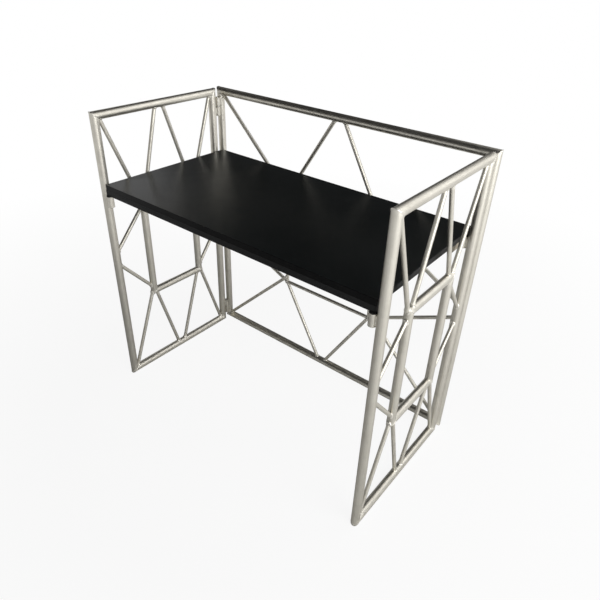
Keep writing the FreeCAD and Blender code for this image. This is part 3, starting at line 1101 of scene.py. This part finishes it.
class BOOTH_OT_hinges(bpy.types.Operator):
    """Model the hinge barrels with their tabs and seams, the pins and the washers"""
    bl_idname = "booth.hinges"
    bl_label = "Hinges"

    def execute(self, context):
        sizes, fittings = context.scene.booth_lattice, context.scene.booth_fittings
        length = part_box("hinge_washers")[0].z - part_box("front_hinge_knuckles")[0].z
        seam = seam_bead(length - 2 * fittings.tab_inset, context.scene.booth_welds)
        for panel in panels(sizes):
            node = f"{panel.name}_hinge_knuckles"
            low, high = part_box(node)
            barrels, seams = [], []
            for wing, axis in self.hinge_lines(fittings).items():
                if panel.name not in ("front", wing):
                    continue
                reach = middle(f"{wing}_far_post" if panel.is_wing else f"front_{wing}_post") - axis
                reach.z = 0
                for bottom in (low.z, high.z - length):
                    foot = axis + UP * bottom
                    barrels += self.knuckle(fittings, foot, reach, length)
                    seams += self.seams(fittings, seam, foot, reach, sizes.tube_radius)
            dress(join(barrels), f"{panel.name}_hinge_barrels", panel.body,
                  "knuckle_aluminium", "Knuckle aluminium", node)
            dress(join(seams), f"{panel.name}_hinge_seams", panel.body,
                  "knuckle_aluminium", "Weld metal")
        bpy.data.objects.remove(seam)
        self.pins_and_washers(fittings, length)
        return {"FINISHED"}

    def hinge_lines(self, fittings):
        """Point of each wing's hinge line at the height of the floor."""
        low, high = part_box("hinge_pins")
        depth = (low.y + high.y) / 2
        return {"left": Vector((low.x + fittings.pin_radius, depth, 0)),
                "right": Vector((high.x - fittings.pin_radius, depth, 0))}

    def knuckle(self, fittings, foot, reach, length):
        """Barrel with a bore, and the tab between it and its post."""
        barrel = sleeve(foot, fittings.knuckle_radius, fittings.pin_radius, length,
                        fittings.rim_round, fittings.turned_sides)
        half = fittings.tab_width / 2
        inner = fittings.knuckle_radius - fittings.tab_lap
        tab = block(Vector((-half, inner, fittings.tab_inset)),
                    Vector((half, reach.length, length - fittings.tab_inset)))
        soften(tab, fittings.rim_round)
        tab.matrix_world = axes(foot, UP, reach.cross(UP))
        return [barrel, settle(tab)]

    def seams(self, fittings, seam, foot, reach, tube_radius):
        """Beads in the grooves on both sides of a tab."""
        along = reach.normalized()
        groove = (fittings.knuckle_radius + reach.length - tube_radius) / 2
        start = foot + along * (groove - fittings.groove_sink) + UP * fittings.tab_inset
        return seam_pair(seam, start,
                         along.cross(UP) * (fittings.tab_width / 2 + fittings.groove_rise))

    def pins_and_washers(self, fittings, length):
        """Pins with rounded ends, and a washer in each hinge."""
        washer_low, washer_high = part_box("hinge_washers")
        front_low, front_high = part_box("front_hinge_knuckles")
        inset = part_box("hinge_pins")[0].z - front_low.z
        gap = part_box("left_hinge_knuckles")[0].z - washer_low.z
        washer_round = gap / 5
        pair = 2 * length + gap
        pins, washers = [], []
        for axis in self.hinge_lines(fittings).values():
            for bottom, washer in ((front_low.z, washer_low.z),
                                   (front_high.z - pair, washer_high.z - gap)):
                pin = round_bar(pair - 2 * inset, fittings.pin_radius, fittings.pin_sides)
                soften(pin, fittings.rim_round)
                pin.location = axis + UP * (bottom + inset)
                pins.append(settle(pin))
                washers.append(sleeve(axis + UP * washer, fittings.knuckle_radius,
                                      fittings.pin_radius, gap, washer_round,
                                      fittings.turned_sides))
        dress(join(pins), "hinge_pin_set", "front_panel", "hinge_steel", "Hinge steel",
              "hinge_pins")
        dress(join(washers), "hinge_washer_set", "front_panel", "hinge_steel", "Hinge steel",
              "hinge_washers")


class BOOTH_OT_table_rests(bpy.types.Operator):
    """Model the stub tubes that carry the table, their seams and their pads"""
    bl_idname = "booth.table_rests"
    bl_label = "Table Rests"

    def execute(self, context):
        fittings = context.scene.booth_fittings
        seam = seam_bead(fittings.rest_length - 2 * fittings.rest_seam_inset,
                         context.scene.booth_welds)
        for wing in ("left", "right"):
            stubs, pads, seams = [], [], []
            for post, foot in self.feet(wing, fittings).items():
                stubs.append(sleeve(foot, fittings.rest_radius,
                                    fittings.rest_radius - fittings.rest_wall,
                                    fittings.rest_length, fittings.rim_round,
                                    fittings.turned_sides))
                pads.append(self.pad(fittings, foot + UP * fittings.rest_length))
                seams += self.seams(fittings, seam, foot, middle(post) - foot)
            body = f"{wing}_wing"
            dress(join(stubs), f"{wing}_rest_stubs", body, "knuckle_aluminium",
                  "Knuckle aluminium", f"{wing}_table_rests")
            dress(join(seams), f"{wing}_rest_seams", body, "knuckle_aluminium", "Weld metal")
            dress(join(pads), f"{wing}_rest_caps", body, "pad_rubber", "Pad rubber",
                  f"{wing}_rest_pads")
        bpy.data.objects.remove(seam)
        return {"FINISHED"}

    def feet(self, wing, fittings):
        """Foot of each stub of a wing, keyed by the post that it is welded to."""
        low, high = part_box(f"{wing}_table_rests")
        radius = fittings.rest_radius
        left, right = low.x + radius, high.x - radius
        inner, outer = (left, right) if wing == "right" else (right, left)
        return {f"{wing}_near_post": Vector((outer, low.y + radius, low.z)),
                f"{wing}_far_post": Vector((inner, high.y - radius,
                                            high.z - fittings.rest_length))}

    def pad(self, fittings, seat):
        """Cap with a rounded rim on the stub's top."""
        cap = round_bar(fittings.pad_thickness, fittings.rest_radius, fittings.turned_sides)
        soften(cap, fittings.rim_round, segments=4)
        cap.location = seat
        return settle(cap)

    def seams(self, fittings, seam, foot, reach):
        """Two beads in the grooves between a stub and its post."""
        along = Vector((reach.x, reach.y, 0)).normalized()
        start = (foot + along * (fittings.rest_radius - fittings.rest_seam_sink)
                 + UP * fittings.rest_seam_inset)
        return seam_pair(seam, start, along.cross(UP) * fittings.rest_seam_spread)


class BOOTH_OT_tabletop(bpy.types.Operator):
    """Model the faced board and the band round its edge"""
    bl_idname = "booth.tabletop"
    bl_label = "Tabletop"

    def execute(self, context):
        fittings = context.scene.booth_fittings
        core = self.slab("table_board", fittings.corner_radius - fittings.band_thickness)
        soften(core, fittings.board_round)
        dress(core, "table_board_face", "tabletop", "board_laminate", "Black board face",
              "table_board")
        band = self.slab("table_edge_band", fittings.corner_radius)
        pick(band, "FACE", lambda face: round(abs(face.normal.z)) == 1)
        bpy.ops.mesh.delete(type="FACE")
        bpy.ops.object.mode_set(mode="OBJECT")
        thicken(band, fittings.band_thickness)
        soften(band, fittings.board_round)
        dress(band, "table_edge_strip", "tabletop", "edge_band", "Black edge band",
              "table_edge_band")
        return {"FINISHED"}

    def slab(self, node, corner):
        """Box of a node's size with rounded upright corners."""
        slab = block(*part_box(node))
        round_edges(slab, is_upright, corner, segments=8)
        return slab


class BOOTH_OT_battens(bpy.types.Operator):
    """Model the two battens under the board and the screws that hold them"""
    bl_idname = "booth.battens"
    bl_label = "Battens"

    def execute(self, context):
        fittings = context.scene.booth_fittings
        for name, material in (("near", "Painted batten"), ("far", "Bare plywood")):
            node = f"table_{name}_batten"
            low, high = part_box(node)
            batten = block(low, high)
            half_length = (high.x - low.x) / 2
            round_edges(batten, lambda run, mid: abs(run.x) > half_length
                        and mid.z - low.z < TOUCH, fittings.batten_round, segments=5)
            soften(batten, fittings.board_round)
            dress(batten, f"{node}_bar", "tabletop", f"{name}_batten", material, node)
        self.screws(fittings)
        return {"FINISHED"}

    def screws(self, fittings):
        """Rows of screws, all copied from one."""
        low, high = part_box("batten_screws")
        first = low.x + fittings.screw_head
        pitch = (high.x - fittings.screw_head - first) / (fittings.batten_screws - 1)
        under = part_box("table_near_batten")[0].z
        screw = self.screw(fittings, low.z, under)
        screws = []
        for row, node in enumerate(("table_near_batten", "table_far_batten")):
            for index in range(fittings.batten_screws):
                twin = copy_of(screw)
                turn = fittings.screw_turn * index + fittings.row_turn * row
                twin.rotation_euler = (0, 0, turn)
                twin.location = (first + index * pitch, middle(node).y, 0)
                screws.append(settle(twin))
        bpy.data.objects.remove(screw)
        dress(join(screws), "batten_screw_set", "tabletop", "screw_steel", "Screw zinc",
              "batten_screws")

    def screw(self, fittings, bottom, under):
        """A crowned head with a driven cross, below the batten, and its buried shank."""
        head = round_bar(under - bottom, fittings.screw_head, fittings.head_sides)
        head.location = (0, 0, bottom)
        settle(head)
        round_edges(head, lambda run, mid: mid.z - bottom < TOUCH, fittings.screw_crown,
                    segments=5)
        reach, half, depth = fittings.recess_reach, fittings.recess_half, fittings.recess_depth
        for turn in (0, math.pi / 2):
            arm = block(Vector((-reach, -half, bottom - depth)),
                        Vector((reach, half, bottom + depth)))
            arm.rotation_euler = (0, 0, turn)
            settle(arm)
            choose_only(head)
            cut = head.modifiers.new("Cross recess", "BOOLEAN")
            cut.operation = "DIFFERENCE"
            cut.object = arm
            bpy.ops.object.modifier_apply(modifier=cut.name)
            bpy.data.objects.remove(arm)
        bpy.ops.object.shade_smooth_by_angle(angle=SCREW_SMOOTH_ANGLE)
        shank = round_bar(fittings.shank_length, fittings.shank_radius, fittings.shank_sides)
        shank.location = (0, 0, under - fittings.shank_lap)
        settle(shank)
        return join([head, shank])


class BOOTH_OT_stage(bpy.types.Operator):
    """Set the floor, the studio light and the camera"""
    bl_idname = "booth.stage"
    bl_label = "Stage"

    def execute(self, context):
        scene, stage = context.scene, context.scene.booth_stage
        self.floor(stage)
        self.world(scene, stage)
        for lamp in ("back", "high", "side", "sheen"):
            self.softbox(stage, lamp)
        self.camera(scene, stage)
        scene.view_settings.view_transform = "Standard"
        return {"FINISHED"}

    def floor(self, stage):
        """Pale floor that reads white, and still takes the booth's shadow."""
        bpy.ops.object.select_all(action="DESELECT")
        bpy.ops.mesh.primitive_circle_add(vertices=stage.floor_sides, radius=stage.floor_radius,
                                          fill_type="NGON")
        floor = bpy.context.object
        floor.name = "studio_floor"
        coat = Coat("Pale floor")
        coat.shader.inputs["Base Color"].default_value = stage.floor
        coat.shader.inputs["Roughness"].default_value = stage.floor_rough
        away = coat.vectors("DISTANCE", coat.place, (0, 0, 0), "Value")
        aside = coat.vectors("DISTANCE", coat.place, stage.bounced_centre, "Value")
        share = coat.white_share(
            coat.rescale(away, stage.seen_near, stage.seen_far, stage.seen_white, 1),
            coat.rescale(aside, stage.bounced_near, stage.bounced_far, stage.bounced_white, 1))
        glow = coat.add("Emission", {"Color": WHITE, "Strength": 1.0})
        mixed = coat.add("MixShader",
                         {0: share, 1: coat.shader.outputs[0], 2: glow.outputs[0]})
        coat.link(mixed.outputs[0], coat.tree.nodes["Material Output"].inputs["Surface"])
        floor.data.materials.append(coat.material)

    def world(self, scene, stage):
        """Dim grey room behind the softboxes, white where the camera looks past the floor."""
        scene.world = bpy.data.worlds.new("Studio")
        scene.world.use_nodes = True
        nodes = Nodes(scene.world.node_tree)
        way = nodes.add("TexCoord").outputs["Generated"]
        height = nodes.add("SeparateXYZ", {0: way}).outputs["Z"]
        horizon = nodes.rescale(height, 0, stage.horizon_height, stage.horizon_white, 0)
        shown = nodes.mix(nodes.white_share(1.0, horizon), stage.room, WHITE)
        nodes.link(shown, nodes.tree.nodes["Background"].inputs["Color"])

    def softbox(self, stage, lamp):
        """Area lamp that points at the booth."""
        name = f"{lamp.title()} softbox"
        light = bpy.data.lights.new(name, "AREA")
        light.shape = "RECTANGLE"
        light.size, light.size_y = getattr(stage, f"{lamp}_size")
        light.energy = getattr(stage, f"{lamp}_power")
        holder = bpy.data.objects.new(name, light)
        holder.location = getattr(stage, f"{lamp}_place")
        aim = UP * stage.aim_height - holder.location
        holder.rotation_euler = aim.to_track_quat("-Z", "Y").to_euler()
        bpy.context.collection.objects.link(holder)

    def camera(self, scene, stage):
        """Camera at the booth's open side, above and to the right."""
        camera = bpy.data.cameras.new("Camera")
        camera.sensor_width = stage.sensor
        camera.lens = stage.lens
        camera.shift_x = stage.shift_x
        camera.shift_y = stage.shift_y
        right = Vector((math.cos(stage.turn), math.sin(stage.turn), 0))
        back = Vector((math.sin(stage.turn) * math.cos(stage.tilt),
                       -math.cos(stage.turn) * math.cos(stage.tilt), math.sin(stage.tilt)))
        upright = back.cross(right)
        across = right * math.cos(stage.roll) + upright * math.sin(stage.roll)
        above = upright * math.cos(stage.roll) - right * math.sin(stage.roll)
        holder = bpy.data.objects.new("Camera", camera)
        holder.matrix_world = Matrix.Translation(stage.place) @ Matrix(
            (across, above, back)).transposed().to_4x4()
        bpy.context.collection.objects.link(holder)
        scene.camera = holder


class BOOTH_PT_panel(bpy.types.Panel):
    """Sizes, finishes and steps of the booth"""
    bl_idname = "BOOTH_PT_panel"
    bl_label = "Folding Tube Booth"
    bl_space_type = "VIEW_3D"
    bl_region_type = "UI"
    bl_category = "Booth"

    def draw(self, context):
        for name in SETTINGS:
            group = getattr(context.scene, name)
            box = self.layout.box()
            for key in group.__annotations__:
                box.prop(group, key)
        for operator in OPERATORS:
            self.layout.operator(operator.bl_idname)


SETTINGS = {
    "booth_lattice": LatticeSizes,
    "booth_welds": WeldSizes,
    "booth_fittings": FittingSizes,
    "booth_finish": FinishColours,
    "booth_stage": StageSettings,
}
OPERATORS = (BOOTH_OT_outer_tubes, BOOTH_OT_window_tubes, BOOTH_OT_lacing_bars,
             BOOTH_OT_welds, BOOTH_OT_hinges, BOOTH_OT_table_rests, BOOTH_OT_tabletop,
             BOOTH_OT_battens, BOOTH_OT_stage)
CLASSES = (*SETTINGS.values(), *OPERATORS, BOOTH_PT_panel)


def register():
    for group in CLASSES:
        bpy.utils.register_class(group)
    for name, group in SETTINGS.items():
        setattr(bpy.types.Scene, name, PointerProperty(type=group))


def unregister():
    for name in SETTINGS:
        delattr(bpy.types.Scene, name)
    for group in reversed(CLASSES):
        bpy.utils.unregister_class(group)


def main():
    random.seed(SEED)
    register()
    bpy.ops.booth.outer_tubes()
    bpy.ops.booth.window_tubes()
    bpy.ops.booth.lacing_bars()
    bpy.ops.booth.welds()
    bpy.ops.booth.hinges()
    bpy.ops.booth.table_rests()
    bpy.ops.booth.tabletop()
    bpy.ops.booth.battens()
    bpy.ops.booth.stage()


if __name__ == "__main__":
    main()
